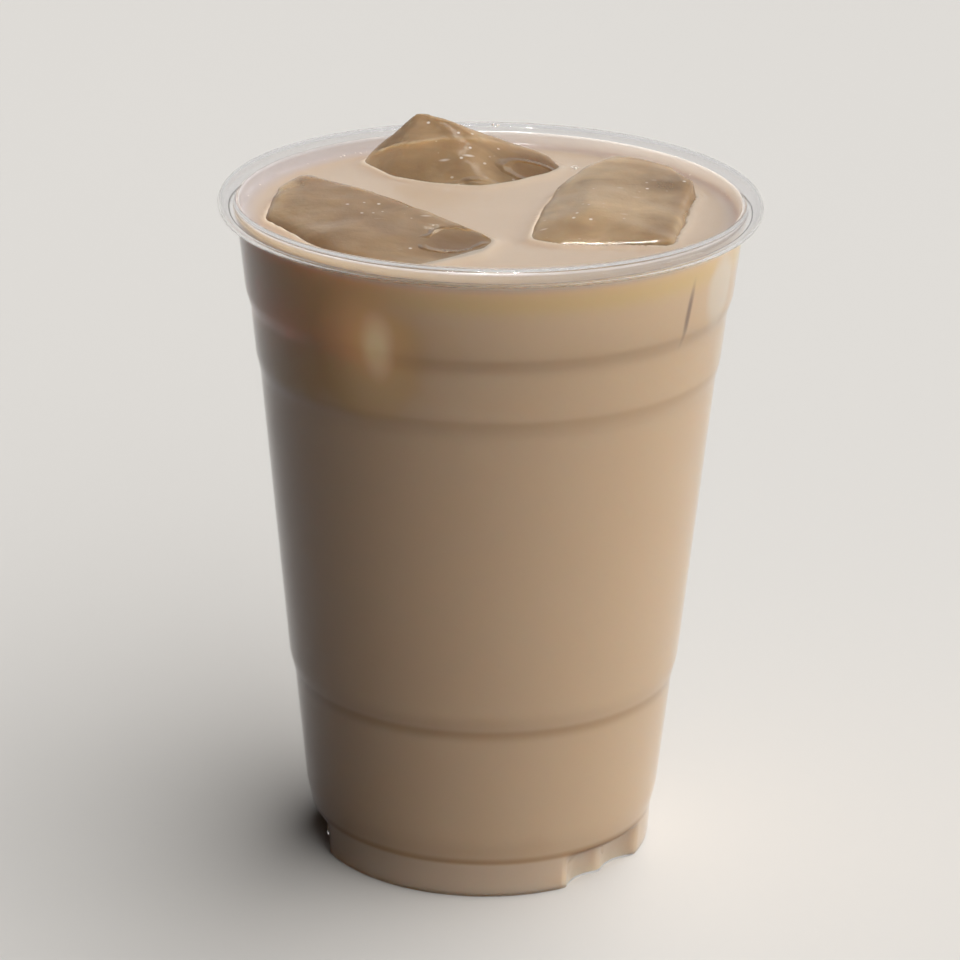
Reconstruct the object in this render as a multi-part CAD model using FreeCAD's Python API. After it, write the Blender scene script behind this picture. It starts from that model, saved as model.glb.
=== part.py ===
import FreeCAD, Part
import math
import os

# Iced chai latte in a clear, vacuum-formed plastic cup, filled almost to the rim.
# Units are millimetres and +Z is up.  The origin is the centre of the ring that the
# cup stands on, and -Y is the front.  One STEP file is written for each piece: the cup,
# the drink, and the three blocks of ice that break the drink's surface.

# ---- Cup: overall sizes ----
rim_diameter = 95.0  # over the rolled lip
cup_height = 121.5
sheet = 0.5  # thickness of the plastic everywhere
lip_radius = 1.75  # outside of the rolled lip's own section
lip_end_angle = -112.0  # where the roll stops, in degrees from straight outwards

# ---- Cup: the wall, from the lip down ----
# A draft is how far the wall comes in for each millimetre down.  Each step is a short
# chamfer that stiffens the wall: "drop" is its height, "inset" how far it comes in.
neck_draft = 0.111
upper_step_below_rim = 16.8
upper_step_drop = 2.9
upper_step_inset = 0.92
band_draft = 0.099
second_step_below_rim = 28.4
second_step_drop = 3.4
second_step_inset = 0.78
body_draft = 0.0954
lower_step_height = 36.35
lower_step_drop = 3.85
lower_step_inset = 0.97
low_draft = 0.0998
foot_height = 6.9
foot_step_rise = 4.4
foot_step_inset = 0.97
foot_draft = 0.06

# ---- Cup: foot ----
foot_corner = 1.2  # rounding where the foot's wall meets the standing ring
ring_land = 2.2  # standing ring left inside the flutes
push_up = 3.5  # how far the middle of the base is pushed up
push_up_draft = 0.35
flute_radius = 7.0
flute_depth = 3.0
flute_spread = 7.9  # half the angle between the two flutes of a pair, in degrees
flute_pair_angles = (-41.7, 73.5, -171.0)

# ---- Drink and ice ----
fill_below_rim = 3.6
ice_edge_share = 0.115  # melted edge's radius, as a share of the mouth's radius
ice_taper = 0.07  # a moulded block narrows this much towards its top
ice_seat = 0.4  # least room between the ice and the plastic

# Ice fits the mouth, so every length here is a share of the mouth's inner radius: the
# block's three sizes, its centre's distance from the axis and its centre's depth below
# the surface.  "azimuth" is the centre's direction, and "turn" is yaw, pitch and roll.
ice_blocks = {
    "ice_left": {
        "size": (0.913, 0.617, 0.571),
        "distance": 0.563,
        "azimuth": -143.9,
        "depth": 0.197,
        "turn": (-54.1, 8.4, 3.5),
    },
    "ice_back": {
        "size": (0.708, 0.594, 0.617),
        "distance": 0.562,
        "azimuth": 103.8,
        "depth": 0.178,
        "turn": (1.4, 18.0, -30.3),
    },
    "ice_right": {
        "size": (0.776, 0.617, 0.594),
        "distance": 0.520,
        "azimuth": -13.8,
        "depth": 0.179,
        "turn": (79.1, -8.3, -7.0),
    },
}

lip_height = cup_height - lip_radius
fill_height = cup_height - fill_below_rim


def wall_rings():
    """Return (radius, height) of the wall's outside at each change of slope, lip to base."""
    upper_step = cup_height - upper_step_below_rim
    second_step = cup_height - second_step_below_rim
    stretches = (
        (upper_step, neck_draft),
        (upper_step - upper_step_drop, upper_step_inset / upper_step_drop),
        (second_step, band_draft),
        (second_step - second_step_drop, second_step_inset / second_step_drop),
        (lower_step_height, body_draft),
        (lower_step_height - lower_step_drop, lower_step_inset / lower_step_drop),
        (foot_height + foot_step_rise, low_draft),
        (foot_height, foot_step_inset / foot_step_rise),
        (0.0, foot_draft),
    )
    radius = rim_diameter / 2 - 2 * lip_radius + sheet
    height = lip_height
    rings = [(radius, height)]
    for end, slope in stretches:
        radius -= slope * (height - end)
        height = end
        rings.append((radius, height))
    return rings


def foot_radius():
    """Outer radius of the foot at the standing ring."""
    return wall_rings()[-1][0]


def mouth_radius():
    """Inner radius of the cup where the drink's surface meets it."""
    lip_inner = wall_rings()[0][0] - sheet
    return lip_inner - neck_draft * (lip_height - fill_height)


def point(radius, height):
    return FreeCAD.Vector(radius, 0, height)


def revolve(edges):
    """Turn a closed outline in the XZ plane into a solid of revolution about Z."""
    face = Part.Face(Part.Wire(edges))
    solid = face.revolve(FreeCAD.Vector(0, 0, 0), FreeCAD.Vector(0, 0, 1), 360)
    return solid


def polyline(points):
    return [Part.LineSegment(a, b).toShape() for a, b in zip(points, points[1:])]


def envelope(inset):
    """Solid bounded by the cup's outer surface, drawn in by inset on every side."""
    ring_inner = foot_radius() - flute_depth - ring_land
    corner = foot_corner - inset
    corner_radius = foot_radius() + foot_draft * foot_corner - inset
    centre = point(corner_radius - corner, inset + corner)
    slant = corner * math.sqrt(0.5)
    base = [
        point(0, push_up + inset),
        point(ring_inner - push_up_draft * push_up + inset, push_up + inset),
        point(ring_inner + inset, inset),
        point(centre.x, inset),
    ]
    rounding = Part.Arc(
        base[-1],
        centre + FreeCAD.Vector(slant, 0, -slant),
        point(corner_radius, centre.z),
    )
    wall = [point(radius - inset, height) for radius, height in wall_rings()[:-1]]
    wall.reverse()
    side = [point(corner_radius, centre.z)] + wall + [point(0, lip_height), base[0]]
    return revolve(polyline(base) + [rounding.toShape()] + polyline(side))


def flutes(inset):
    """Upright cylinders that press the paired stacking flutes into the foot."""
    reach = foot_radius() - flute_depth + flute_radius
    overshoot = 1.0
    cutters = []
    for pair_angle in flute_pair_angles:
        for side in (-1, 1):
            angle = math.radians(pair_angle + side * flute_spread)
            base = FreeCAD.Vector(reach * math.cos(angle), reach * math.sin(angle), -overshoot)
            height = foot_height + inset + overshoot
            cutters.append(Part.makeCylinder(flute_radius + inset, height, base))
    return cutters


def lip():
    """The rim's rolled edge: an open curl that turns outwards and down from the wall."""
    centre = point(rim_diameter / 2 - lip_radius, lip_height)

    def on_roll(radius, angle):
        turn = math.radians(angle)
        return centre + FreeCAD.Vector(radius * math.cos(turn), 0, radius * math.sin(turn))

    middle = (180.0 + lip_end_angle) / 2
    arcs = []
    for radius in (lip_radius, lip_radius - sheet):
        start = on_roll(radius, 180.0)
        end = on_roll(radius, lip_end_angle)
        arcs.append((start, Part.Arc(start, on_roll(radius, middle), end).toShape(), end))
    (outer_start, outer, outer_end), (inner_start, inner, inner_end) = arcs
    wall_end = Part.LineSegment(inner_start, outer_start).toShape()
    free_end = Part.LineSegment(outer_end, inner_end).toShape()
    return revolve(Part.__sortEdges__([outer, free_end, inner, wall_end]))


def fluted(inset):
    """The envelope with the stacking flutes pressed into its foot."""
    return envelope(inset).cut(flutes(inset))


def make_cup():
    shell = fluted(0.0).cut(fluted(sheet))
    return shell.fuse(lip()).removeSplitter()


def make_block(size, edge):
    """A melted block of ice about the origin, narrower at its top."""
    length, width, height = size
    outlines = []
    for share, level in ((1.0, -height / 2), (1.0 - ice_taper, height / 2)):
        x = share * length / 2
        y = share * width / 2
        corners = [(-x, -y), (x, -y), (x, y), (-x, y), (-x, -y)]
        outlines.append(Part.makePolygon([FreeCAD.Vector(a, b, level) for a, b in corners]))
    block = Part.makeLoft(outlines, True, True)
    return block.makeFillet(edge, block.Edges)


def make_ice(block):
    """Place one block in the mouth, kept off the plastic by ice_seat."""
    mouth = mouth_radius()
    solid = make_block([share * mouth for share in block["size"]], ice_edge_share * mouth)
    azimuth = math.radians(block["azimuth"])
    centre = FreeCAD.Vector(
        block["distance"] * mouth * math.cos(azimuth),
        block["distance"] * mouth * math.sin(azimuth),
        fill_height - block["depth"] * mouth,
    )
    solid.Placement = FreeCAD.Placement(centre, FreeCAD.Rotation(*block["turn"]))
    headroom = Part.makeCylinder(
        mouth - ice_seat, cup_height, FreeCAD.Vector(0, 0, fill_height)
    )
    return solid.common(envelope(sheet + ice_seat).fuse(headroom))


def make_drink(ice):
    """Everything inside the cup up to the fill height, less the ice."""
    filled = Part.makeCylinder(rim_diameter, fill_height)
    return fluted(sheet).common(filled).cut(ice)


def main():
    os.makedirs("parts", exist_ok=True)
    pieces = {name: make_ice(block) for name, block in ice_blocks.items()}
    pieces["drink"] = make_drink(list(pieces.values()))
    pieces["cup"] = make_cup()
    for name, shape in pieces.items():
        shape.exportStep(f"parts/{name}.step")
        print(name, "solids", len(shape.Solids), "volume", round(shape.Volume, 1))


main()
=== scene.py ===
import math

import bmesh
import bpy
import numpy as np
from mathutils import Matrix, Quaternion, Vector, noise
from mathutils.bvhtree import BVHTree


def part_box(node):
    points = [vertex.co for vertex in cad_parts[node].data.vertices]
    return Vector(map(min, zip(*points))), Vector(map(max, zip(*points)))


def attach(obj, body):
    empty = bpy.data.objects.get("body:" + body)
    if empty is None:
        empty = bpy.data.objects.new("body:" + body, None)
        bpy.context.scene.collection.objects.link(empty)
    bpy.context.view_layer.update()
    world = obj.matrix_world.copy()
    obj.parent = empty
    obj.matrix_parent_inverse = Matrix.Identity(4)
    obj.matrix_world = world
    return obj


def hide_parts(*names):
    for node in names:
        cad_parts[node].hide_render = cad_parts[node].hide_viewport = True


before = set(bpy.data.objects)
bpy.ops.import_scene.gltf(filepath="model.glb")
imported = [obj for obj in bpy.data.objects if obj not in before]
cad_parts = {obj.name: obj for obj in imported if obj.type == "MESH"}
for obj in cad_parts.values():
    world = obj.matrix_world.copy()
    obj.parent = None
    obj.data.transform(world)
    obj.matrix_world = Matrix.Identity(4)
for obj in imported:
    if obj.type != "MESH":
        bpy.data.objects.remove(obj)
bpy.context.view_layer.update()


# ---------------------------------------------------------------- Clear cup
# A 500 ml cold-drink cup, drawn by vacuum from one sheet of clear plastic.  The wall tapers
# in four drafts with soft steps between them, pairs of flutes are pressed into the foot so
# that nested cups come apart, and the lip is the same sheet rolled outwards and down.
cup_low, cup_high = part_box("cup")
rim_radius = cup_high.x
rim_height = cup_high.z
sheet = 0.0005
roll_radius = 0.00175
roll_height = rim_height - roll_radius
roll_end = math.radians(-112)
push_up = 0.0035
push_up_draft = 0.35
ring_land = 0.0022
flute_radius = 0.007
flute_depth = 0.0030
flute_height = 0.0069
flute_spread = math.radians(7.9)
flute_pairs = [math.radians(angle) for angle in (-41.7, 73.5, -171.0)]

# Each stretch of wall from the lip down: where it ends, how far it comes in for each metre
# down, and how far the corner at its end is rounded to each side.
wall_stretches = (
    (rim_height - 0.0168, 0.111, 0.0008),
    (rim_height - 0.0197, 0.317, 0.0008),
    (rim_height - 0.0284, 0.099, 0.0009),
    (rim_height - 0.0318, 0.229, 0.0009),
    (0.03635, 0.0954, 0.0010),
    (0.0325, 0.252, 0.0010),
    (0.0113, 0.0998, 0.0012),
    (0.0069, 0.220, 0.0004),
    (0.0, 0.060, 0.0012),
)


def wall_corners(inset):
    """(radius, height, rounding) of the wall at each change of slope, from base to lip."""
    radius = rim_radius - 2 * roll_radius + sheet
    height = roll_height
    corners = [(radius - inset, height, 0)]
    for end, draft, rounding in wall_stretches:
        radius -= draft * (height - end)
        height = end
        corners.append((radius - inset, height, rounding))
    return corners[::-1]


def cup_corners(inset):
    """The wall's corners with those of the standing ring and the pushed-up base."""
    wall = wall_corners(inset)
    foot_radius, _, foot_corner = wall[0]
    ring_inner = foot_radius + 2 * inset - flute_depth - ring_land
    base = [
        (0, push_up + inset, 0),
        (ring_inner - push_up_draft * push_up, push_up + inset, 0.0008),
        (ring_inner, inset, 0.0006),
        (foot_radius, inset, foot_corner - inset),
    ]
    return base + wall[1:]


def softened(corners, steps=4, longest=0.02):
    """Points along the corners' line, each corner rounded, and close together at the flutes."""
    points = []
    for k, (radius, height, cut) in enumerate(corners):
        here = Vector((radius, height))
        if cut == 0:
            points.append(here)
            continue
        before = here + (Vector(corners[k - 1][:2]) - here).normalized() * cut
        after = here + (Vector(corners[k + 1][:2]) - here).normalized() * cut
        for step in range(steps + 1):
            t = step / steps
            points.append(before * (1 - t) ** 2 + here * (2 * t * (1 - t)) + after * t * t)
    divided = [points[0]]
    for start, end in zip(points, points[1:]):
        at_flutes = max(start.y, end.y) < flute_height and start.x > rim_radius * 0.6
        spacing = 0.0009 if at_flutes else longest
        parts = max(1, math.ceil((end - start).length / spacing))
        divided += [start.lerp(end, part / parts) for part in range(1, parts + 1)]
    return divided


def rolled(radius, start, end, count=20):
    """Points round the lip's roll between two angles."""
    centre = Vector((rim_radius - roll_radius, roll_height))
    angles = [start + (end - start) * k / count for k in range(count + 1)]
    return [centre + radius * Vector((math.cos(a), math.sin(a))) for a in angles]


def outline_object(name, points, insets):
    """A chain of points in the XZ plane; each point carries its inset from the outside."""
    mesh = bpy.data.meshes.new(name)
    edges = [(k, k + 1) for k in range(len(points) - 1)]
    mesh.from_pydata([(p.x, 0, p.y) for p in points], edges, [])
    mesh.attributes.new("inset", "FLOAT", "POINT").data.foreach_set("value", insets)
    outline = bpy.data.objects.new(name, mesh)
    bpy.context.scene.collection.objects.link(outline)
    return outline


def add(tree, kind, inputs=(), **settings):
    """Add a node, set its properties and feed its inputs from values or sockets."""
    node = tree.nodes.new(kind)
    for name, value in settings.items():
        setattr(node, name, value)
    for key, value in dict(inputs).items():
        if isinstance(value, bpy.types.NodeSocket):
            tree.links.new(value, node.inputs[key])
        else:
            node.inputs[key].default_value = value
    return node


def calc(tree, operation, *values):
    """One step of arithmetic between values or sockets."""
    return add(tree, "ShaderNodeMath", enumerate(values), operation=operation).outputs[0]


def length(tree, first, second):
    """The straight length of a step one way and a step across it."""
    squares = calc(tree, "ADD", calc(tree, "POWER", first, 2), calc(tree, "POWER", second, 2))
    return calc(tree, "SQRT", squares)


def ramp(tree, value, start, end, bottom=0.0, top=1.0, shape="LINEAR"):
    """Bottom where the value is at start, top where it is at end, and between in between."""
    ends = {"From Min": start, "From Max": end, "To Min": bottom, "To Max": top}
    node = add(tree, "ShaderNodeMapRange", {"Value": value, **ends}, interpolation_type=shape)
    return node.outputs[0]


def clouds(tree, where, scale, detail, distortion=0.0):
    """Soft clouds of chance strength, from 0 to 1."""
    inputs = {"Vector": where, "Scale": scale, "Detail": detail, "Distortion": distortion}
    return add(tree, "ShaderNodeTexNoise", inputs).outputs[0]


def own_place(tree):
    """The point's place on its object, in metres."""
    return tree.nodes.new("ShaderNodeTexCoord").outputs["Object"]


def new_group(name, kind, inputs, outputs):
    """An empty group of nodes with these named sockets, and what it is given."""
    tree = bpy.data.node_groups.new(name, kind)
    for direction, sockets in (("INPUT", inputs), ("OUTPUT", outputs)):
        for socket, what in sockets.items():
            tree.interface.new_socket(socket, in_out=direction, socket_type="NodeSocket" + what)
    return tree, tree.nodes.new("NodeGroupInput").outputs


def mask_group(name, numbers, output="Mask"):
    """An empty shader group that turns named numbers into one value."""
    return new_group(name, "ShaderNodeTree", dict.fromkeys(numbers, "Float"), {output: "Float"})


def turned_in_the_round():
    """A tree that turns an outline about Z and presses the paired flutes into its foot."""
    sizes = ("Flute Radius", "Flute Reach", "Flute Spread", "Flute Height")
    pairs = ("First Pair", "Second Pair", "Third Pair")
    sockets = {"Outline": "Geometry", "Segments": "Int"}
    sockets.update(dict.fromkeys(sizes + pairs, "Float"))
    sockets["Material"] = "Material"
    tree, given = new_group(
        "turned in the round", "GeometryNodeTree", sockets, {"Mesh": "Geometry"}
    )

    size = add(tree, "GeometryNodeAttributeDomainSize", {"Geometry": given["Outline"]})
    rows = size.outputs["Point Count"]
    columns = calc(tree, "ADD", given["Segments"], 1)
    grid = add(
        tree,
        "GeometryNodeMeshGrid",
        {"Size X": 1.0, "Size Y": 1.0, "Vertices X": columns, "Vertices Y": rows},
    )
    position = tree.nodes.new("GeometryNodeInputPosition").outputs[0]
    on_grid = add(tree, "ShaderNodeSeparateXYZ", {0: position}).outputs
    angle = calc(tree, "MULTIPLY", calc(tree, "ADD", on_grid[0], 0.5), math.tau)
    last_row = calc(tree, "SUBTRACT", rows, 1)
    row = calc(tree, "MULTIPLY", calc(tree, "ADD", on_grid[1], 0.5), last_row)
    row = calc(tree, "ROUND", row)
    spot = add(
        tree,
        "GeometryNodeSampleIndex",
        {"Geometry": given["Outline"], "Value": position, "Index": row},
        data_type="FLOAT_VECTOR",
    )
    on_outline = add(tree, "ShaderNodeSeparateXYZ", {0: spot.outputs[0]}).outputs
    radius = on_outline[0]
    height = on_outline[2]
    named = add(tree, "GeometryNodeInputNamedAttribute", {"Name": "inset"}, data_type="FLOAT")
    inset = add(
        tree,
        "GeometryNodeSampleIndex",
        {"Geometry": given["Outline"], "Value": named.outputs[0], "Index": row},
        data_type="FLOAT",
    ).outputs[0]

    # How far round the nearest flute's middle is, with the rib between a pair rounded off.
    rib = 0.035
    nearest = math.pi
    for name in pairs:
        away = calc(tree, "SUBTRACT", angle, given[name])
        away = calc(tree, "ABSOLUTE", calc(tree, "WRAP", away, math.pi, -math.pi))
        nearest = calc(tree, "MINIMUM", away, nearest)
    rounded = calc(tree, "SQRT", calc(tree, "ADD", calc(tree, "POWER", nearest, 2), rib * rib))
    folded = calc(tree, "ABSOLUTE", calc(tree, "SUBTRACT", rounded, given["Flute Spread"]))
    across = calc(tree, "MULTIPLY", given["Flute Reach"], calc(tree, "SINE", folded))
    along = calc(tree, "MULTIPLY", given["Flute Reach"], calc(tree, "COSINE", folded))
    press = calc(tree, "ADD", given["Flute Radius"], inset)
    press_squared = calc(tree, "POWER", press, 2)
    left_over = calc(tree, "SUBTRACT", press_squared, calc(tree, "POWER", across, 2))
    depth = calc(tree, "SQRT", calc(tree, "MAXIMUM", left_over, 0))

    # Past this angle from a flute's middle the dent is put far outside the wall.
    flute_end = 0.2
    beyond = calc(tree, "GREATER_THAN", folded, flute_end)
    dent = calc(tree, "ADD", calc(tree, "SUBTRACT", along, depth), beyond)
    edge_rounding = 0.0014
    pressed = calc(tree, "SMOOTH_MIN", radius, dent, edge_rounding)
    top = calc(tree, "ADD", given["Flute Height"], inset)
    fade_height = 0.0024
    faded_in = calc(tree, "SUBTRACT", top, fade_height)
    fade = ramp(tree, height, top, faded_in, shape="SMOOTHSTEP")
    final = add(tree, "ShaderNodeMix", {0: fade, 2: radius, 3: pressed}).outputs[0]
    turned = add(
        tree,
        "ShaderNodeCombineXYZ",
        {
            0: calc(tree, "MULTIPLY", final, calc(tree, "COSINE", angle)),
            1: calc(tree, "MULTIPLY", final, calc(tree, "SINE", angle)),
            2: height,
        },
    )
    shaped = add(
        tree,
        "GeometryNodeSetPosition",
        {"Geometry": grid.outputs["Mesh"], "Position": turned.outputs[0]},
    )
    seam_gap = 2e-6
    closed = add(
        tree,
        "GeometryNodeMergeByDistance",
        {"Geometry": shaped.outputs[0], "Distance": seam_gap},
    )
    smooth = add(tree, "GeometryNodeSetShadeSmooth", {"Geometry": closed.outputs[0]})
    real = add(tree, "GeometryNodeRealizeInstances", {"Geometry": smooth.outputs[0]})
    clad = add(
        tree,
        "GeometryNodeSetMaterial",
        {"Geometry": real.outputs[0], "Material": given["Material"]},
    )
    add(tree, "NodeGroupOutput", {0: clad.outputs[0]})
    return tree


def apply_tree(piece, tree, values):
    """Run a geometry tree on a piece with these named inputs, and keep the plain mesh."""
    modifier = piece.modifiers.new(tree.name, "NODES")
    modifier.node_group = tree
    for item in tree.interface.items_tree:
        if item.in_out == "INPUT" and item.name in values:
            modifier[item.identifier] = values[item.name]
    keep_result(piece)


def keep_result(piece):
    """Replace a piece's mesh by its evaluated one and drop its modifiers."""
    graph = bpy.context.evaluated_depsgraph_get()
    graph.update()
    mesh = bpy.data.meshes.new_from_object(piece.evaluated_get(graph), depsgraph=graph)
    piece.modifiers.clear()
    piece.data = mesh
    if len(mesh.materials) > 1 and mesh.materials[0] is None:
        mesh.materials.pop(index=0)


def turn(outline, material, segments):
    """Turn an outline into a fluted piece with that many segments round it."""
    apply_tree(
        outline,
        turning_tree,
        {
            "Segments": segments,
            "Flute Radius": flute_radius,
            "Flute Reach": wall_corners(0)[0][0] - flute_depth + flute_radius,
            "Flute Spread": flute_spread,
            "Flute Height": flute_height,
            "First Pair": flute_pairs[0],
            "Second Pair": flute_pairs[1],
            "Third Pair": flute_pairs[2],
            "Material": material,
        },
    )


def new_material(name):
    """An empty node material and its tree, with an output node."""
    material = bpy.data.materials.new(name)
    material.use_nodes = True
    material.node_tree.nodes.clear()
    output = material.node_tree.nodes.new("ShaderNodeOutputMaterial")
    return material, material.node_tree, output


def lets_light_through(tree, output, surface):
    """Give a clear piece its shader, open to lamps so that what it holds is lit."""
    path = tree.nodes.new("ShaderNodeLightPath").outputs
    passing = calc(tree, "MAXIMUM", path["Is Shadow Ray"], path["Is Diffuse Ray"])
    open_shader = add(tree, "ShaderNodeBsdfTransparent")
    mixed = add(
        tree, "ShaderNodeMixShader", {0: passing, 1: surface.outputs[0], 2: open_shader.outputs[0]}
    )
    tree.links.new(mixed.outputs[0], output.inputs["Surface"])


def unevenness_group():
    """Shader group: a height of broad waves and fine ripples, used by every wet surface."""
    tree, given = mask_group(
        "uneven surface", ("Wave Scale", "Ripple Scale", "Ripple Share"), "Height"
    )
    where = own_place(tree)
    wave = clouds(tree, where, given["Wave Scale"], 2.0)
    ripple = clouds(tree, where, given["Ripple Scale"], 4.0)
    both = add(tree, "ShaderNodeMix", {0: given["Ripple Share"], 2: wave, 3: ripple})
    add(tree, "NodeGroupOutput", {0: both.outputs[0]})
    return tree


def uneven_normal(tree, wave_scale, ripple_scale, ripple_share, strength, distance):
    """A bumped normal from the uneven surface group."""
    group = add(
        tree,
        "ShaderNodeGroup",
        {"Wave Scale": wave_scale, "Ripple Scale": ripple_scale, "Ripple Share": ripple_share},
        node_tree=unevenness,
    )
    bump = add(
        tree,
        "ShaderNodeBump",
        {"Strength": strength, "Distance": distance, "Height": group.outputs[0]},
    )
    return bump.outputs[0]


unevenness = unevenness_group()
turning_tree = turned_in_the_round()

clear_plastic, plastic_tree, plastic_output = new_material("clear_plastic")
plastic = add(
    plastic_tree,
    "ShaderNodeBsdfPrincipled",
    {
        "Base Color": (0.94, 0.935, 0.94, 1),
        "Roughness": 0.015,
        "IOR": 1.38,
        "Transmission Weight": 1.0,
        "Specular Tint": (0.6, 0.6, 0.6, 1),
        "Normal": uneven_normal(plastic_tree, 45.0, 160.0, 0.1, 0.03, 0.0001),
    },
)
lets_light_through(plastic_tree, plastic_output, plastic)

outside = softened(cup_corners(0))
inside = softened(cup_corners(sheet))[::-1]
roll_inside = rolled(roll_radius - sheet, math.pi, roll_end)[1:]
roll_outside = rolled(roll_radius, roll_end, math.pi)
cup_points = outside + roll_inside + roll_outside + inside[1:]
cup_insets = [0.0] * (len(outside) + len(roll_inside) + len(roll_outside))
cup_insets += [sheet] * (len(inside) - 1)
clear_cup = outline_object("clear_cup", cup_points, cup_insets)
cup_segments = 540
turn(clear_cup, clear_plastic, cup_segments)
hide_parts("cup")
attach(clear_cup, "root")


# ---------------------------------------------------------------- Ice
# Three blocks of moulded ice, half melted: their edges are round, their faces are dimpled
# and wet.  Each floats with its top just out of the drink and is tinted by the tea on it.
_, drink_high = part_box("drink")
level = drink_high.z
mouth_radius = drink_high.x


def water_edge_group():
    """Shader group: a thin raised loop, the edge of melt water that lies on the ice."""
    tree, given = mask_group(
        "water edge", ("Middle X", "Middle Y", "Half Length", "Half Width", "Turn", "Line")
    )
    where = own_place(tree)
    place = add(tree, "ShaderNodeSeparateXYZ", {0: where}).outputs
    x = calc(tree, "SUBTRACT", place[0], given["Middle X"])
    y = calc(tree, "SUBTRACT", place[1], given["Middle Y"])
    cosine = calc(tree, "COSINE", given["Turn"])
    sine = calc(tree, "SINE", given["Turn"])
    along = calc(
        tree, "ADD", calc(tree, "MULTIPLY", x, cosine), calc(tree, "MULTIPLY", y, sine)
    )
    across = calc(
        tree, "SUBTRACT", calc(tree, "MULTIPLY", y, cosine), calc(tree, "MULTIPLY", x, sine)
    )
    along = calc(tree, "DIVIDE", along, given["Half Length"])
    across = calc(tree, "DIVIDE", across, given["Half Width"])
    reach = length(tree, along, across)
    raggedness = 0.8
    warp = calc(tree, "SUBTRACT", clouds(tree, where, 170.0, 2.0), 0.5)
    reach = calc(tree, "ADD", reach, calc(tree, "MULTIPLY", warp, raggedness))
    off = calc(tree, "ABSOLUTE", calc(tree, "SUBTRACT", reach, 1.0))
    thin = ramp(tree, off, given["Line"], 0.0, shape="SMOOTHSTEP")
    unbroken = ramp(tree, clouds(tree, where, 140.0, 1.0), 0.36, 0.50)
    add(tree, "NodeGroupOutput", {0: calc(tree, "MULTIPLY", thin, unbroken)})
    return tree


water_edge = water_edge_group()
wet_ice, ice_tree, ice_output = new_material("wet_ice")
in_ice = own_place(ice_tree)

# Melt water lies on two blocks, and its edge stands up as a fine ridge.  Each loop is given
# by its middle, its half length and half width in millimetres, and its turn in degrees.
edge_width = 0.0007
edge_height = 0.0009
raised = 0.0
for middle_x, middle_y, half_length, half_width, turned_by in (
    (-6.0, -21.0, 7.0, 4.0, 48.0),
    (7.3, 22.2, 5.2, 2.6, 15.0),
    (-2.6, 15.4, 2.4, 0.4, 2.0),
):
    loop = add(
        ice_tree,
        "ShaderNodeGroup",
        {
            "Middle X": middle_x / 1000,
            "Middle Y": middle_y / 1000,
            "Half Length": half_length / 1000,
            "Half Width": half_width / 1000,
            "Turn": math.radians(turned_by),
            "Line": edge_width / (half_width / 1000),
        },
        node_tree=water_edge,
    )
    raised = calc(ice_tree, "MAXIMUM", raised, loop.outputs[0])
dimpled = uneven_normal(ice_tree, 160.0, 900.0, 0.3, 0.3, 0.0005)
wet_normal = add(
    ice_tree,
    "ShaderNodeBump",
    {"Strength": 1.0, "Distance": edge_height, "Height": raised, "Normal": dimpled},
).outputs[0]
ice_ior = 1.31
wet_roughness = 0.04
clear_ice = add(
    ice_tree,
    "ShaderNodeBsdfPrincipled",
    {
        "Base Color": (0.96, 0.89, 0.77, 1),
        "Roughness": wet_roughness,
        "IOR": ice_ior,
        "Transmission Weight": 1.0,
        "Normal": wet_normal,
    },
)

# Trapped air: long cloudy streaks; and in places short white dashes and pinpricks, partly
# flaws and bubbles of trapped air and partly painted highlights, glints painted on the wet ice.
stretched = add(
    ice_tree,
    "ShaderNodeMapping",
    {"Vector": in_ice, "Rotation": (0.2, 0.3, 0.7), "Scale": (1, 1.7, 1.4)},
)
streak = clouds(ice_tree, stretched.outputs[0], 55.0, 4.0, 0.7)
cloudiness = ramp(ice_tree, streak, 0.30, 0.72, 0.30, 0.72)
pinprick = add(ice_tree, "ShaderNodeTexVoronoi", {"Vector": in_ice, "Scale": 420.0})
pinprick_dot = ramp(ice_tree, pinprick.outputs["Distance"], 0.16, 0.08)
drawn_out = add(
    ice_tree,
    "ShaderNodeMapping",
    {"Vector": in_ice, "Rotation": (0, 0, 0.35), "Scale": (0.3, 1, 1)},
)
dash = add(ice_tree, "ShaderNodeTexVoronoi", {"Vector": drawn_out.outputs[0], "Scale": 330.0})
dash_mark = ramp(ice_tree, dash.outputs["Distance"], 0.15, 0.04)
somewhere = ramp(ice_tree, clouds(ice_tree, in_ice, 95.0, 1.0), 0.57, 0.64)
# The white dashes and pinpricks: flaws of trapped air, and painted highlights for glints.
flaw_and_glint = calc(ice_tree, "MAXIMUM", dash_mark, pinprick_dot)
flaw_and_glint = calc(ice_tree, "MULTIPLY", flaw_and_glint, somewhere)
flaw_and_glint_strength = 0.55
white_flaw_and_glint_share = calc(ice_tree, "MULTIPLY", flaw_and_glint, flaw_and_glint_strength)

# The tea tints the fog, deeper in patches and at two thin ends; the fog is also painted
# lighter to the right, a painted light that stands in for the daylight from that side.
sideways = add(ice_tree, "ShaderNodeSeparateXYZ", {0: in_ice}).outputs[0]
fog_painted_lighter_right = add(
    ice_tree,
    "ShaderNodeMix",
    {
        0: ramp(ice_tree, sideways, -0.022, 0.012),
        6: (0.43, 0.285, 0.155, 1),
        7: (0.58, 0.415, 0.245, 1),
    },
    data_type="RGBA",
)
deep_share = ramp(ice_tree, clouds(ice_tree, in_ice, 75.0, 2.0), 0.42, 0.66, 0.0, 0.7)
for end_x, end_y in ((-0.005, -0.024), (0.008, 0.024)):
    from_end = add(
        ice_tree,
        "ShaderNodeVectorMath",
        {0: in_ice, 1: (end_x, end_y, level)},
        operation="DISTANCE",
    )
    thin_end = ramp(ice_tree, from_end.outputs["Value"], 0.012, 0.004)
    deep_share = calc(ice_tree, "MAXIMUM", deep_share, thin_end)
tinted_fog = add(
    ice_tree,
    "ShaderNodeMix",
    {0: deep_share, 6: fog_painted_lighter_right.outputs[2], 7: (0.24, 0.14, 0.065, 1)},
    data_type="RGBA",
)
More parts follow.
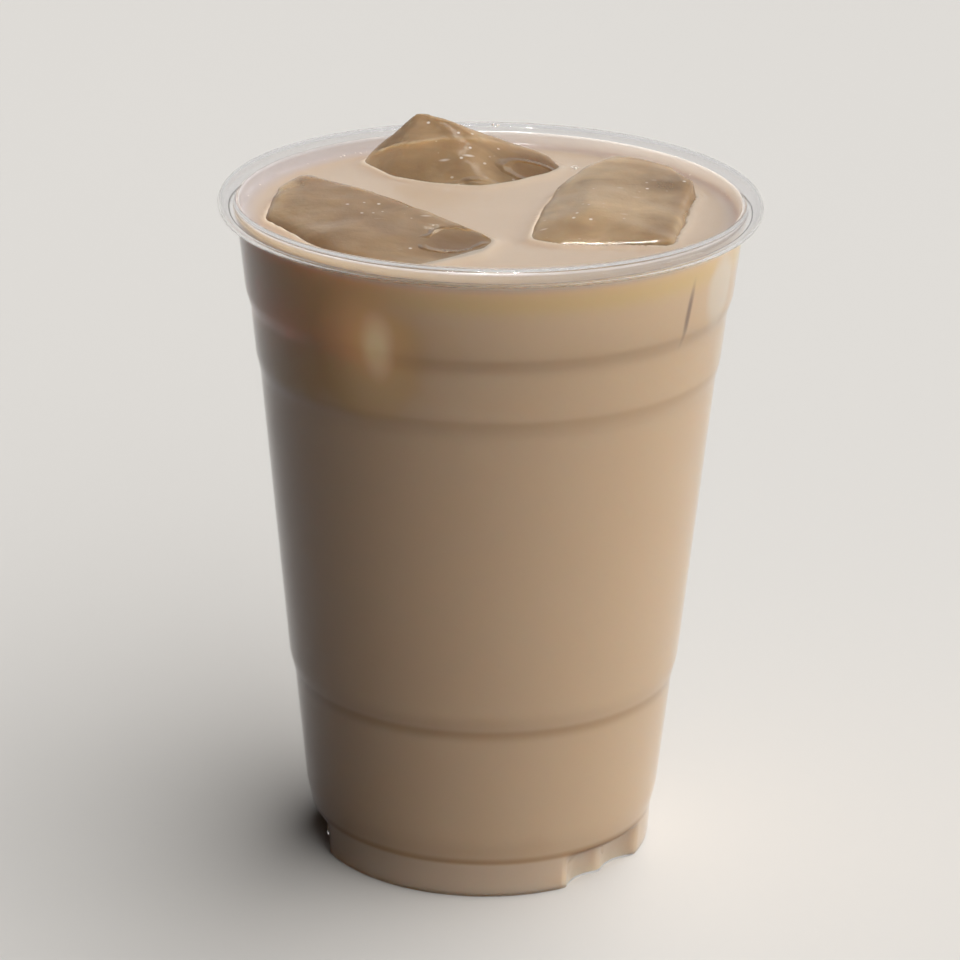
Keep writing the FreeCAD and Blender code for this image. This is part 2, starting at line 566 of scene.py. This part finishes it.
cloudy_ice = add(
    ice_tree,
    "ShaderNodeBsdfPrincipled",
    {
        "Base Color": tinted_fog.outputs[2],
        "Roughness": wet_roughness,
        "IOR": ice_ior,
        "Subsurface Weight": 1.0,
        "Subsurface Radius": (0.004, 0.0034, 0.0028),
        "Subsurface Scale": 1.0,
        "Normal": wet_normal,
    },
)
white_flaw_and_glint = add(
    ice_tree,
    "ShaderNodeBsdfPrincipled",
    {"Base Color": (0.92, 0.90, 0.88, 1), "Roughness": 0.3, "IOR": ice_ior},
)
partly_cloudy = add(
    ice_tree,
    "ShaderNodeMixShader",
    {0: cloudiness, 1: clear_ice.outputs[0], 2: cloudy_ice.outputs[0]},
)
ice_body = add(
    ice_tree,
    "ShaderNodeMixShader",
    {0: white_flaw_and_glint_share, 1: partly_cloudy.outputs[0], 2: white_flaw_and_glint.outputs[0]},
)
lets_light_through(ice_tree, ice_output, ice_body)


def positions(mesh):
    """Every vertex's place, one row each."""
    flat = np.empty(len(mesh.vertices) * 3)
    mesh.vertices.foreach_get("co", flat)
    return flat.reshape(-1, 3)


def set_positions(mesh, places):
    """Move every vertex to its row of places."""
    mesh.vertices.foreach_set("co", places.ravel())
    mesh.update()


def normals(mesh):
    """Every vertex's outward direction, one row each."""
    flat = np.empty(len(mesh.vertices) * 3)
    mesh.vertex_normals.foreach_get("vector", flat)
    return flat.reshape(-1, 3)


def melted_block(node, corners, melt, seed):
    """A block of ice from its worn corners, in millimetres, rounded and dimpled by melting."""
    lump = 0.0004
    lumps_a_metre = 75
    dimple = 0.00012
    dimples_a_metre = 240
    regain = 0.00025
    build = bmesh.new()
    for corner in corners:
        build.verts.new(Vector(corner) / 1000)
    bmesh.ops.convex_hull(build, input=build.verts)
    loose = [v for v in build.verts if not v.link_faces]
    bmesh.ops.delete(build, geom=loose, context="VERTS")
    bmesh.ops.recalc_face_normals(build, faces=build.faces)
    mesh = bpy.data.meshes.new(node + "_block")
    build.to_mesh(mesh)
    build.free()
    block = bpy.data.objects.new(node + "_block", mesh)
    bpy.context.scene.collection.objects.link(block)
    remesh = block.modifiers.new("even", "REMESH")
    remesh.mode = "VOXEL"
    remesh.voxel_size = 0.0006
    rounding = block.modifiers.new("round", "SMOOTH")
    rounding.factor = 0.5
    rounding.iterations = melt
    keep_result(block)
    places = positions(block.data)
    outward = normals(block.data)
    shift = Vector((seed, 2.0 * seed, 0))
    for k, spot in enumerate(places):
        here = Vector(spot)
        broad = noise.noise(here * lumps_a_metre + shift)
        fine = noise.noise(here * dimples_a_metre + shift)
        places[k] += outward[k] * (regain + lump * broad + dimple * fine)
    set_positions(block.data, places)
    block.data.shade_smooth()
    block.data.materials.clear()
    block.data.materials.append(wet_ice)
    return block


# Each block's corners, first those of its top and then those under the tea.
left_corners = (
    (-34, 11.5, 121.2), (-22, 1.5, 121.4), (-8, -13.5, 119.9), (1.2, -19.0, 118.5),
    (-0.5, -27.5, 117.9), (-12, -36.5, 117.9), (-25, -30.5, 119.0), (-38.8, -9, 119.0),
    (-37.5, 3, 120.6), (-40.2, -7, 103), (-33, 12, 106), (-8, -3, 104), (2, -20, 108),
    (-6, -37, 104), (-18.3, -36.9, 105), (-33, -23, 104), (-33, -5, 96), (-27, 6, 97),
    (-6, -14, 96), (-14, -29, 96.5),
)
back_corners = (
    (-22.5, 31, 119.0), (-24, 28, 117.0), (-17.4, 30.5, 121.6), (-15.3, 31.5, 124.8),
    (-13.5, 32, 127.0), (-9.5, 30.5, 126.4), (-5.4, 28.5, 125.1), (-0.3, 28, 122.8),
    (5.1, 30, 121.0), (10, 31, 119.6), (13, 27.5, 118), (11, 22.5, 117.6), (5.4, 17.2, 117.4),
    (-1.9, 13.2, 117.4), (-10.8, 14.6, 117.4), (-18, 19, 117.6), (-21, 30, 106), (-16, 14, 105),
    (2, 10, 104), (12, 22, 105), (12, 32, 108), (-2, 39.6, 108), (-18, 36, 109), (-12, 33, 94),
    (-8, 18, 93), (4, 20, 94), (6, 32, 95),
)
right_corners = (
    (8.3, -12, 119), (9.6, -1.5, 119.5), (12, 7.6, 120.1), (14.5, 12.4, 120.7),
    (17.4, 17.6, 121.7), (22.1, 22.8, 121.8), (26.8, 21.3, 121.7), (32, 18.5, 121.3),
    (35.4, 11.5, 120.7), (30.8, -20.5, 118.9), (22, -20.6, 118.6), (11.8, -20.6, 118.2),
    (6.6, -18.8, 117.8), (17, -10, 121.2), (34, -21.2, 107), (39, 2, 108), (33.5, 19, 107),
    (18, 24, 106), (6, 6, 105), (5, -16, 106), (20, -27, 105), (30, -14, 95), (30, 10, 95),
    (12, 8, 94.5), (12, -14, 95),
)
ice_blocks = {
    "ice_left": melted_block("ice_left", left_corners, 26, 3.1),
    "ice_back": melted_block("ice_back", back_corners, 18, 8.4),
    "ice_right": melted_block("ice_right", right_corners, 11, 5.7),
}
for node, block in ice_blocks.items():
    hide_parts(node)
    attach(block, "root")


# ---------------------------------------------------------------- Milky tea
# Black tea with spice and milk, opaque and filled almost to the lip.  It wets the plastic
# and the ice, so its surface climbs each of them, and it reaches just into the cup's wall.
bite = 0.0002
film_height = 0.0021
film_thickness = 0.00022
wall_climb = 0.0003
wall_climb_reach = 0.0012
tea_inset = sheet - bite


def surface_row(gap):
    """A point of the surface that far in from the plastic, with its climb up the wall."""
    climb = wall_climb * math.exp(-gap / wall_climb_reach)
    climb += film_height * math.exp(-gap / film_thickness)
    return Vector((mouth_radius - gap, level + climb))


top_of_film = level + film_height + wall_climb
tea_side = [p for p in softened(cup_corners(tea_inset)) if p.y < top_of_film]

# How far in from the plastic each ring of the surface lies: close together, then even.
gaps = [0.0, 0.00008, 0.00016, 0.00026, 0.00038, 0.00054, 0.0007, 0.001, 0.0014, 0.0019, 0.0025]
ring = 0.0007
rings_in = int((mouth_radius - gaps[-1]) / ring)
gaps += [gaps[-1] + (mouth_radius - gaps[-1]) * k / rings_in for k in range(1, rings_in + 1)]
tea_surface = [surface_row(gap) for gap in gaps]
wall_top = Vector((mouth_radius + bite, top_of_film))
tea_points = tea_side + [wall_top] + tea_surface
tea_insets = [tea_inset] * len(tea_points)
tea_segments = 320


def soft_patch_group():
    """Shader group: a soft oval on the cup's wall, by its direction and height."""
    tree, given = mask_group(
        "soft patch", ("Direction", "Height", "Half Width", "Half Height", "Softness", "Lean")
    )
    wall_radius = 0.042
    raggedness = 0.5
    where = own_place(tree)
    place = add(tree, "ShaderNodeSeparateXYZ", {0: where}).outputs
    angle = calc(tree, "ARCTAN2", place[1], place[0])
    away = calc(tree, "SUBTRACT", angle, given["Direction"])
    away = calc(tree, "WRAP", away, math.pi, -math.pi)
    up = calc(tree, "SUBTRACT", place[2], given["Height"])
    across = calc(tree, "MULTIPLY", away, wall_radius)
    across = calc(tree, "ADD", across, calc(tree, "MULTIPLY", up, given["Lean"]))
    across = calc(tree, "DIVIDE", across, given["Half Width"])
    reach = length(tree, across, calc(tree, "DIVIDE", up, given["Half Height"]))
    warp = calc(tree, "SUBTRACT", clouds(tree, where, 130.0, 1.0), 0.5)
    reach = calc(tree, "ADD", reach, calc(tree, "MULTIPLY", warp, raggedness))
    outside_edge = calc(tree, "ADD", given["Softness"], 1.0)
    inside_edge = calc(tree, "SUBTRACT", 1.0, given["Softness"])
    mask = ramp(tree, reach, outside_edge, inside_edge, shape="SMOOTHSTEP")
    add(tree, "NodeGroupOutput", {0: mask})
    return tree


def wall_line_group():
    """Shader group: a soft line round the cup at a bend of its wall."""
    tree, given = mask_group("wall line", ("Height", "Above", "Below"))
    place = add(tree, "ShaderNodeSeparateXYZ", {0: own_place(tree)}).outputs
    up = calc(tree, "SUBTRACT", place[2], given["Height"])
    above = calc(tree, "DIVIDE", up, given["Above"])
    below = calc(tree, "DIVIDE", up, calc(tree, "MULTIPLY", given["Below"], -1.0))
    reach = calc(tree, "MAXIMUM", above, below)
    add(tree, "NodeGroupOutput", {0: ramp(tree, reach, 1.0, 0.0, shape="SMOOTHSTEP")})
    return tree


soft_patch = soft_patch_group()
wall_line = wall_line_group()


def patch(tree, direction, height, half_width, half_height, softness, lean=0.0):
    """The mask of one soft patch: degrees, then millimetres."""
    group = add(
        tree,
        "ShaderNodeGroup",
        {
            "Direction": math.radians(direction),
            "Height": height / 1000,
            "Half Width": half_width / 1000,
            "Half Height": half_height / 1000,
            "Softness": softness,
            "Lean": lean,
        },
        node_tree=soft_patch,
    )
    return group.outputs[0]


def line(tree, height, above, below, strength):
    """The mask of one wall line, in millimetres."""
    group = add(
        tree,
        "ShaderNodeGroup",
        {"Height": height / 1000, "Above": above / 1000, "Below": below / 1000},
        node_tree=wall_line,
    )
    return calc(tree, "MULTIPLY", group.outputs[0], strength)


def blend(tree, share, first, second):
    """Mix two colours, each a socket or a colour value."""
    mixed = add(tree, "ShaderNodeMix", {0: share, 6: first, 7: second}, data_type="RGBA")
    return mixed.outputs[2]


def tint(red, green, blue):
    """A colour with full alpha."""
    return (red, green, blue, 1.0)


# Tea against the plastic: tan, darker and browner where ice behind it thins the milk, and
# pale where a corner of ice presses on the wall, a painted glow for light coming through the ice.
tea_body, body_tree, body_output = new_material("tea_at_the_wall")
on_wall = own_place(body_tree)
up_the_wall = add(body_tree, "ShaderNodeSeparateXYZ", {0: on_wall}).outputs[2]
patchy = clouds(body_tree, on_wall, 22.0, 3.0)
tan = blend(body_tree, patchy, tint(0.61, 0.458, 0.31), tint(0.585, 0.438, 0.295))
foot_share = ramp(body_tree, up_the_wall, 0.0074, 0.0062, 0.0, 0.8)
colour = blend(body_tree, foot_share, tan, tint(0.575, 0.455, 0.345))
# A yellower band under the lip: painted glow, standing in for light that the milk carries down
# from its open top.
glow_under_the_lip = line(body_tree, 114.5, 4.0, 3.8, 0.8)
colour = blend(body_tree, glow_under_the_lip, colour, tint(0.60, 0.45, 0.235))

# A darker line at each bend of the wall, painted shade where the plastic bends: its height,
# how far it reaches above and below in millimetres, and its strength.
for line_height, above, below, strength in (
    (103.8, 1.0, 2.2, 0.24),
    (92.5, 1.0, 2.2, 0.28),
    (33.2, 1.1, 2.3, 0.55),
    (7.1, 1.2, 0.8, 0.80),
):
    colour = blend(
        body_tree,
        line(body_tree, line_height, above, below, strength),
        colour,
        tint(0.43, 0.275, 0.155),
    )

# What ice behind the wall does to the colour, with painted glow where its corners meet the
# wall, and the milk's film on top of it all.
above_step = ramp(body_tree, up_the_wall, 0.0900, 0.0935, shape="SMOOTHSTEP")
amber = patch(body_tree, -150, 106, 30, 16, 0.4)
amber = calc(body_tree, "MULTIPLY", amber, above_step)
# The halo, the two glows and the pale corner are painted light: pale spots standing in for light
# that comes through the ice to the wall.
glow_halo = patch(body_tree, -119, 104, 6.5, 8.5, 0.8)
near_glow = patch(body_tree, -116, 105, 2.4, 5.0, 0.6, -0.06)
far_glow = patch(body_tree, -178, 105, 3.0, 6.0, 0.7)
pale_corner_glow = patch(body_tree, -24, 110, 4.5, 6.5, 0.35)
dark_edge = patch(body_tree, -38.5, 108.5, 0.55, 4.2, 0.7, -0.12)
colour = blend(body_tree, amber, colour, tint(0.56, 0.345, 0.135))
colour = blend(body_tree, glow_halo, colour, tint(0.74, 0.54, 0.27))
colour = blend(body_tree, near_glow, colour, tint(0.86, 0.72, 0.51))
colour = blend(body_tree, far_glow, colour, tint(0.97, 0.82, 0.46))
colour = blend(body_tree, pale_corner_glow, colour, tint(0.62, 0.53, 0.42))
colour = blend(body_tree, dark_edge, colour, tint(0.30, 0.22, 0.17))
film_share = ramp(body_tree, up_the_wall, 0.1160, 0.1178, shape="SMOOTHSTEP")
colour = blend(body_tree, film_share, colour, tint(0.44, 0.38, 0.34))
milk_scatter = (0.005, 0.004, 0.003)
tea_wall = add(
    body_tree,
    "ShaderNodeBsdfPrincipled",
    {
        "Base Color": colour,
        "Roughness": 0.5,
        "IOR": 1.35,
        "Specular IOR Level": 0.1,
        "Subsurface Weight": 1.0,
        "Subsurface Radius": milk_scatter,
        "Subsurface Scale": 1.0,
    },
)
body_tree.links.new(tea_wall.outputs[0], body_output.inputs["Surface"])

# Tea's open surface: a thin skin of milk and fine froth, paler and cooler at the edge; the pale
# edge is painted lighter towards the right, a painted light for the daylight from that side.
tea_top, top_tree, top_output = new_material("tea_surface")
on_top = own_place(top_tree)
place = add(top_tree, "ShaderNodeSeparateXYZ", {0: on_top}).outputs
from_axis = length(top_tree, place[0], place[1])
pale_from = mouth_radius - 0.004
pale_to = mouth_radius - 0.0003
edge = ramp(top_tree, from_axis, pale_from, pale_to, shape="SMOOTHSTEP")
swirl = clouds(top_tree, on_top, 45.0, 4.0, 1.2)
cream = blend(top_tree, swirl, tint(0.57, 0.44, 0.33), tint(0.54, 0.415, 0.31))
# Painted light: the pale edge is lighter on the right, where the daylight falls.
across = ramp(top_tree, place[0], -mouth_radius, mouth_radius)
pale_rim_painted_light = blend(top_tree, across, tint(0.47, 0.405, 0.39), tint(0.64, 0.54, 0.49))
skin = blend(top_tree, edge, cream, pale_rim_painted_light)
tea_skin = add(
    top_tree,
    "ShaderNodeBsdfPrincipled",
    {
        "Base Color": skin,
        "Roughness": 0.16,
        "IOR": 1.34,
        "Subsurface Weight": 1.0,
        "Subsurface Radius": (0.004, 0.0036, 0.0032),
        "Subsurface Scale": 1.0,
        "Normal": uneven_normal(top_tree, 60.0, 420.0, 0.25, 0.25, 0.0004),
    },
)
top_tree.links.new(tea_skin.outputs[0], top_output.inputs["Surface"])

# Tea seen through the ice, without the pale skin: deeper and browner.
tea_deep, deep_tree, deep_output = new_material("tea_under_ice")
wisp = clouds(deep_tree, own_place(deep_tree), 120.0, 3.0)
murk = blend(deep_tree, wisp, tint(0.49, 0.35, 0.20), tint(0.59, 0.44, 0.27))
tea_pocket = add(
    deep_tree,
    "ShaderNodeBsdfPrincipled",
    {
        "Base Color": murk,
        "Roughness": 0.6,
        "IOR": 1.34,
        "Specular IOR Level": 0.1,
        "Subsurface Weight": 1.0,
        "Subsurface Radius": milk_scatter,
        "Subsurface Scale": 1.0,
    },
)
deep_tree.links.new(tea_pocket.outputs[0], deep_output.inputs["Surface"])

tea = outline_object("milky_tea", tea_points, tea_insets)
turn(tea, tea_body, tea_segments)
tea.data.materials.append(tea_top)
tea.data.materials.append(tea_deep)


def skin_of(block):
    """A block's faces, kept so that the nearest point on them is found fast."""
    return BVHTree.FromPolygons(
        [v.co for v in block.data.vertices], [p.vertices for p in block.data.polygons]
    )


# The surface climbs the ice as it climbs the plastic.
ice_climb = 0.0006
ice_climb_reach = 0.0009
hairline = 0.0001
ice_skins = [skin_of(block) for block in ice_blocks.values()]
places = positions(tea.data)
near_surface = places[:, 2] > level - hairline
for k in np.nonzero(near_surface)[0]:
    here = Vector(places[k])
    if math.hypot(here.x, here.y) > mouth_radius - hairline:
        continue
    gap = min(ice_skin.find_nearest(here)[3] for ice_skin in ice_skins)
    places[k, 2] += ice_climb * math.exp(-gap / ice_climb_reach)
set_positions(tea.data, places)

# Faces of the open surface look up, even where the film climbs steeply.
least_upward = 0.05
for polygon in tea.data.polygons:
    if polygon.center.z > level - 2 * hairline and polygon.normal.z > least_upward:
        polygon.material_index = 1

# A pocket for each block, a little smaller than the ice, so that no gap is left.
ice_bite = 0.00015
cutters = []
for node, block in ice_blocks.items():
    cutter = bpy.data.objects.new(node + "_cutter", block.data.copy())
    bpy.context.scene.collection.objects.link(cutter)
    cutter.data.materials.clear()
    cutter.data.materials.append(tea_deep)
    set_positions(cutter.data, positions(cutter.data) - ice_bite * normals(cutter.data))
    cutters.append(cutter)
    pocket = tea.modifiers.new(node, "BOOLEAN")
    pocket.operation = "DIFFERENCE"
    pocket.solver = "MANIFOLD"
    pocket.object = cutter
keep_result(tea)
tea.data.validate()
for cutter in cutters:
    bpy.data.objects.remove(cutter)
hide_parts("drink")
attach(tea, "root")


# ---------------------------------------------------------------- Froth
# A few bubbles left from shaking: they float against the plastic and the ice, mostly at the
# back, where the milk's skin is thickest.  Each is a film of milk round air.
froth_skin, froth_tree, froth_output = new_material("froth")
froth_body = add(
    froth_tree,
    "ShaderNodeBsdfPrincipled",
    {
        "Base Color": (0.86, 0.78, 0.70, 1),
        "Roughness": 0.12,
        "IOR": 1.33,
        "Subsurface Weight": 1.0,
        "Subsurface Radius": (0.0003, 0.0003, 0.0003),
        "Subsurface Scale": 1.0,
    },
)
froth_tree.links.new(froth_body.outputs[0], froth_output.inputs["Surface"])


def bubbles_tree():
    """A tree that strews bubbles of chance size over patches of the surface."""
    tree, given = new_group(
        "strewn bubbles",
        "GeometryNodeTree",
        {
            "Patches": "Geometry",
            "Density": "Float",
            "Seed": "Int",
            "Smallest": "Float",
            "Largest": "Float",
            "Material": "Material",
        },
        {"Mesh": "Geometry"},
    )
    spots = add(
        tree,
        "GeometryNodeDistributePointsOnFaces",
        {"Mesh": given["Patches"], "Density": given["Density"], "Seed": given["Seed"]},
    )
    chance = add(
        tree,
        "FunctionNodeRandomValue",
        {2: 0.0, 3: 1.0, "Seed": given["Seed"]},
        data_type="FLOAT",
    )
    scarcity_of_large = 2.5
    skewed = calc(tree, "POWER", chance.outputs[1], scarcity_of_large)
    radius = add(tree, "ShaderNodeMix", {0: skewed, 2: given["Smallest"], 3: given["Largest"]})
    ball = add(tree, "GeometryNodeMeshIcoSphere", {"Radius": 1.0, "Subdivisions": 2})
    placed = add(
        tree,
        "GeometryNodeInstanceOnPoints",
        {
            "Points": spots.outputs["Points"],
            "Instance": ball.outputs[0],
            "Scale": radius.outputs[0],
        },
    )
    real = add(tree, "GeometryNodeRealizeInstances", {"Geometry": placed.outputs[0]})
    smooth = add(tree, "GeometryNodeSetShadeSmooth", {"Geometry": real.outputs[0]})
    clad = add(
        tree,
        "GeometryNodeSetMaterial",
        {"Geometry": smooth.outputs[0], "Material": given["Material"]},
    )
    add(tree, "NodeGroupOutput", {0: clad.outputs[0]})
    return tree


# Where froth gathers: arcs by the plastic, as start and end angle, then room from the wall
# and width in millimetres; and round spots, as x, y, height and radius.  The spots' heights
# come from the cup and the tea, in metres, and their other sizes are in millimetres.
froth_arcs = ((96, 132, 0.25, 0.9), (132, 172, 0.25, 0.5), (8, 34, 0.25, 0.4))
froth_spots = (
    (-10.0, -15.0, level, 1.5),
    (15.0, 28.5, level, 1.2),
    (0.5, 44.6, rim_height - 0.0003, 0.9),
    (44.0, 14.5, rim_height - 0.0002, 0.5),
)
arc_steps = 12
circle_steps = 16
patches = bmesh.new()
for start, end, room, width in froth_arcs:
    rows = []
    for step in range(arc_steps + 1):
        angle = math.radians(start + (end - start) * step / arc_steps)
        along = Vector((math.cos(angle), math.sin(angle), 0))
        far = mouth_radius - room / 1000
        near = far - width / 1000
        rows.append([patches.verts.new(along * r + Vector((0, 0, level))) for r in (near, far)])
    for first, second in zip(rows, rows[1:]):
        patches.faces.new((first[0], first[1], second[1], second[0]))
for x, y, up, radius in froth_spots:
    circle = []
    for step in range(circle_steps):
        angle = math.tau * step / circle_steps
        spot = Vector((x + radius * math.cos(angle), y + radius * math.sin(angle), 0)) / 1000
        circle.append(patches.verts.new(spot + Vector((0, 0, up))))
    patches.faces.new(circle)
froth_mesh = bpy.data.meshes.new("froth")
patches.to_mesh(froth_mesh)
patches.free()
froth = bpy.data.objects.new("froth", froth_mesh)
bpy.context.scene.collection.objects.link(froth)
apply_tree(
    froth,
    bubbles_tree(),
    {"Density": 3.0e6, "Seed": 4, "Smallest": 0.00008, "Largest": 0.00042, "Material": froth_skin},
)
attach(froth, "root")


# ---------------------------------------------------------------- Stage, light and camera
# A plain pale floor, soft daylight from the right, three lamps, and a long lens that looks
# down a little.  Floor and sky are pale where they are seen, straight or in gloss and glass,
# and darker in the light that they give.
seen_colour = tint(0.68, 0.67, 0.655)


def in_view(tree):
    """1 where something is seen, straight or in gloss or glass, and 0 where it gives light."""
    path = tree.nodes.new("ShaderNodeLightPath").outputs
    mirrored = calc(tree, "MAXIMUM", path["Is Glossy Ray"], path["Is Transmission Ray"])
    return calc(tree, "MAXIMUM", path["Is Camera Ray"], mirrored)


floor_mesh = bpy.data.meshes.new("floor")
half = 4.0
floor_corners = [(-half, -half, 0), (half, -half, 0), (half, half, 0), (-half, half, 0)]
floor_mesh.from_pydata(floor_corners, [], [(0, 1, 2, 3)])
floor = bpy.data.objects.new("floor", floor_mesh)
bpy.context.scene.collection.objects.link(floor)
floor_paint, floor_tree, floor_output = new_material("floor_paint")
shade = blend(floor_tree, in_view(floor_tree), tint(0.07, 0.04, 0.025), seen_colour)
paint = add(floor_tree, "ShaderNodeBsdfDiffuse", {"Color": shade})
floor_tree.links.new(paint.outputs[0], floor_output.inputs["Surface"])
floor_mesh.materials.append(floor_paint)

# Daylight fills the half of the sky that is to the right, and fades out past the zenith.
light_from = Vector((0.995, 0.0, 0.10)).normalized()
world = bpy.data.worlds.new("soft daylight")
bpy.context.scene.world = world
world.use_nodes = True
world_tree = world.node_tree
world_tree.nodes.clear()
toward = world_tree.nodes.new("ShaderNodeTexCoord").outputs["Generated"]
facing = add(
    world_tree, "ShaderNodeVectorMath", {0: toward, 1: light_from}, operation="DOT_PRODUCT"
)
daylit = ramp(world_tree, facing.outputs["Value"], 0.0, 0.3, shape="SMOOTHSTEP")
daylight = blend(world_tree, daylit, tint(0.006, 0.004, 0.003), tint(1.0, 0.985, 0.96))
lamp = add(world_tree, "ShaderNodeBackground", {"Color": daylight, "Strength": 2.3})
backdrop = add(world_tree, "ShaderNodeBackground", {"Color": seen_colour, "Strength": 1.0})
both = add(
    world_tree,
    "ShaderNodeMixShader",
    {0: in_view(world_tree), 1: lamp.outputs[0], 2: backdrop.outputs[0]},
)
add(world_tree, "ShaderNodeOutputWorld", {"Surface": both.outputs[0]})


def softbox(name, place, aim, width, height, power, colour):
    """A rectangular lamp at a place, facing a point."""
    light = bpy.data.lights.new(name, "AREA")
    light.shape = "RECTANGLE"
    light.size = width
    light.size_y = height
    light.energy = power
    light.color = colour
    lamp_object = bpy.data.objects.new(name, light)
    lamp_object.location = place
    lamp_object.rotation_euler = (aim - Vector(place)).to_track_quat("-Z", "Y").to_euler()
    bpy.context.scene.collection.objects.link(lamp_object)
    return lamp_object


middle = Vector((0, 0, rim_height / 2))
softbox("window", (1.1, -0.05, 0.40), middle, 0.4, 0.3, 0.5, (1.0, 0.97, 0.93))
softbox("overhead", (0.15, 0.45, 1.0), middle, 0.25, 0.08, 0.3, (1.0, 0.98, 0.96))

# A narrow tube overhead: it only shows in gloss, as the glints on wet edges and the lip.
tube = softbox("tube", (0.0, -0.08, 1.15), middle, 0.35, 0.03, 24.0, (1.0, 0.98, 0.97))
tube.visible_diffuse = False
tube.visible_transmission = False

camera_data = bpy.data.cameras.new("camera")
camera_data.lens = 148.49
camera_data.sensor_width = 36.0
camera_data.clip_start = 0.01
camera = bpy.data.objects.new("camera", camera_data)
camera.location = Vector((0, -0.66415, 0.31251))
aim = Vector((-0.00111, 0, 0.06781))
roll = math.radians(0.896)
look = (aim - camera.location).to_track_quat("-Z", "Y")
camera.rotation_euler = (look @ Quaternion((0, 0, 1), roll)).to_euler()
bpy.context.scene.collection.objects.link(camera)
bpy.context.scene.camera = camera
bpy.context.scene.view_settings.view_transform = "Standard"
